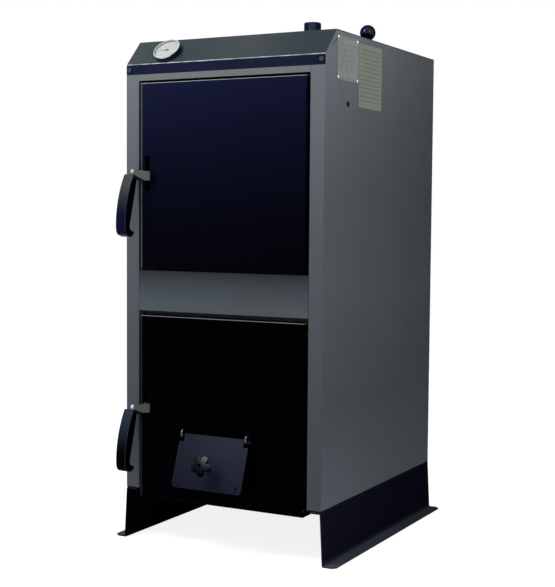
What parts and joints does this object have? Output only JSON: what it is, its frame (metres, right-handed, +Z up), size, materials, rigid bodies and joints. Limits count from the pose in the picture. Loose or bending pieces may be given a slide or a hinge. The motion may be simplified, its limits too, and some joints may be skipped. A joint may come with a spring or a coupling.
{
  "type": "solid fuel boiler",
  "caption": "Free-standing solid fuel boiler in a sheet casing, with a loading door, an ash door with an adjustable air flap, a dial thermometer, a supply pipe and a flue damper.",
  "frame": {"origin": "on the floor, under the middle of the whole boiler", "axes": "+Z up, the doors face -Y, their levers on the -X side and their hinges on the +X side"},
  "size_m": [0.5, 0.7414, 1.0822],
  "materials": {
    "foot_paint": "semi-gloss black paint",
    "casing_paint": "fine-textured grey powder coat",
    "hood_paint": "semi-gloss dark navy powder coat",
    "door_paint": "semi-gloss navy-black powder coat",
    "flap_paint": "satin navy powder coat",
    "dark_screw": "blackened screws",
    "plate_metal": "bare anodised plate",
    "boiler_steel": "hot-rolled steel with dark primer",
    "grate_iron": "raw cast iron",
    "mineral_wool": "mineral fibre board",
    "rope_seal": "braided glass rope",
    "pipe_paint": "navy enamel",
    "flue_paint": "heat-resistant black paint",
    "bright_steel": "zinc-plated steel",
    "brass_plug": "turned brass",
    "ball_plastic": "polished phenolic",
    "grip_plastic": "moulded phenolic",
    "knob_plastic": "moulded phenolic, satin",
    "gauge_paint": "navy enamel",
    "gauge_dial": "white dial",
    "gauge_pointer": "black pointer",
    "gauge_glass": "clear glass",
    "gauge_chrome": "bright rim"
  },
  "bodies": {
    "root": {"left_foot": "foot_paint", "right_foot": "foot_paint", "base_plate": "foot_paint", "left_side_panel": "casing_paint", "right_side_panel": "casing_paint", "rear_panel": "casing_paint", "hood": "hood_paint", "front_top_strip": "casing_paint", "front_mid_panel": "casing_paint", "casing_screws": "dark_screw", "rating_plate": "plate_metal", "plate_rivets": "plate_metal", "front_plate": "boiler_steel", "outer_shell": "boiler_steel", "inner_shell": "boiler_steel", "water_shelves": "boiler_steel", "grate": "grate_iron", "grate_supports": "boiler_steel", "ash_pan": "boiler_steel", "casing_insulation": "mineral_wool", "supply_pipe": "pipe_paint", "return_pipe": "pipe_paint", "drain_socket": "boiler_steel", "drain_plug": "brass_plug", "flue_collar": "flue_paint", "thermometer_case": "gauge_paint", "thermometer_dial": "gauge_dial", "thermometer_glass": "gauge_glass", "thermometer_bezel": "gauge_chrome", "temperature_probe": "brass_plug", "hinge_brackets": "bright_steel", "hinge_pins": "bright_steel", "lever_keepers": "bright_steel"},
    "upper_door": {"upper_cover": "door_paint", "upper_inner_plate": "boiler_steel", "upper_insulation": "mineral_wool", "upper_heat_shield": "boiler_steel", "upper_seal": "rope_seal", "upper_pivot": "bright_steel"},
    "lower_door": {"lower_cover": "door_paint", "lower_inner_plate": "boiler_steel", "lower_insulation": "mineral_wool", "lower_heat_shield": "boiler_steel", "lower_seal": "rope_seal", "lower_pivot": "bright_steel", "air_duct": "boiler_steel", "flap_ears": "bright_steel"},
    "upper_latch": {"upper_lever": "bright_steel", "upper_grip": "grip_plastic"},
    "lower_latch": {"lower_lever": "bright_steel", "lower_grip": "grip_plastic"},
    "flap": {"air_flap": "flap_paint"},
    "adjuster": {"flap_screw": "bright_steel"},
    "adjuster_knob": {"star_knob": "knob_plastic"},
    "damper": {"damper_plate": "boiler_steel", "damper_spindle": "bright_steel", "damper_arm": "flue_paint", "damper_knob": "ball_plastic"},
    "pointer": {"thermometer_pointer": "gauge_pointer"}
  },
  "joints": [
    {"name": "upper_door_hinge", "type": "hinge", "parent": "root", "child": "upper_door", "pos_m": [0.175, -0.29325, 0.73275], "axis": [0, 0, 1], "range_deg": [0, 95]},
    {"name": "lower_door_hinge", "type": "hinge", "parent": "root", "child": "lower_door", "pos_m": [0.175, -0.29325, 0.27325], "axis": [0, 0, 1], "range_deg": [0, 95]},
    {"name": "upper_lever_pivot", "type": "hinge", "parent": "upper_door", "child": "upper_latch", "pos_m": [-0.1675, -0.28725, 0.73275], "axis": [-1, 0, 0], "range_deg": [0, 25]},
    {"name": "lower_lever_pivot", "type": "hinge", "parent": "lower_door", "child": "lower_latch", "pos_m": [-0.1675, -0.28725, 0.27325], "axis": [-1, 0, 0], "range_deg": [0, 25]},
    {"name": "air_flap_hinge", "type": "hinge", "parent": "lower_door", "child": "flap", "pos_m": [-0.0053, -0.30855, 0.224], "axis": [-1, 0, 0], "range_deg": [0, 50]},
    {"name": "adjuster_slide", "type": "slide", "parent": "flap", "child": "adjuster", "axis": [0, -0.9455, 0.3256], "range_m": [0, 0.01]},
    {"name": "star_knob_turn", "type": "hinge", "parent": "adjuster", "child": "adjuster_knob", "pos_m": [-0.0053, -0.32792, 0.16774], "axis": [0, -0.9455, 0.3256], "range_deg": [0, 2880]},
    {"name": "damper_turn", "type": "hinge", "parent": "root", "child": "damper", "pos_m": [0, 0.29475, 0.82], "axis": [0, 0, 1], "range_deg": [-40.8, 49.2]},
    {"name": "pointer_turn", "type": "hinge", "parent": "root", "child": "pointer", "pos_m": [-0.1341, -0.27842, 0.97564], "axis": [0, -0.7284, 0.6851], "range_deg": [-225, 45]}
  ],
  "couplings": [
    {"joint": "adjuster_slide", "follows": "star_knob_turn", "m_per_rad": 0.00019894}
  ]
}
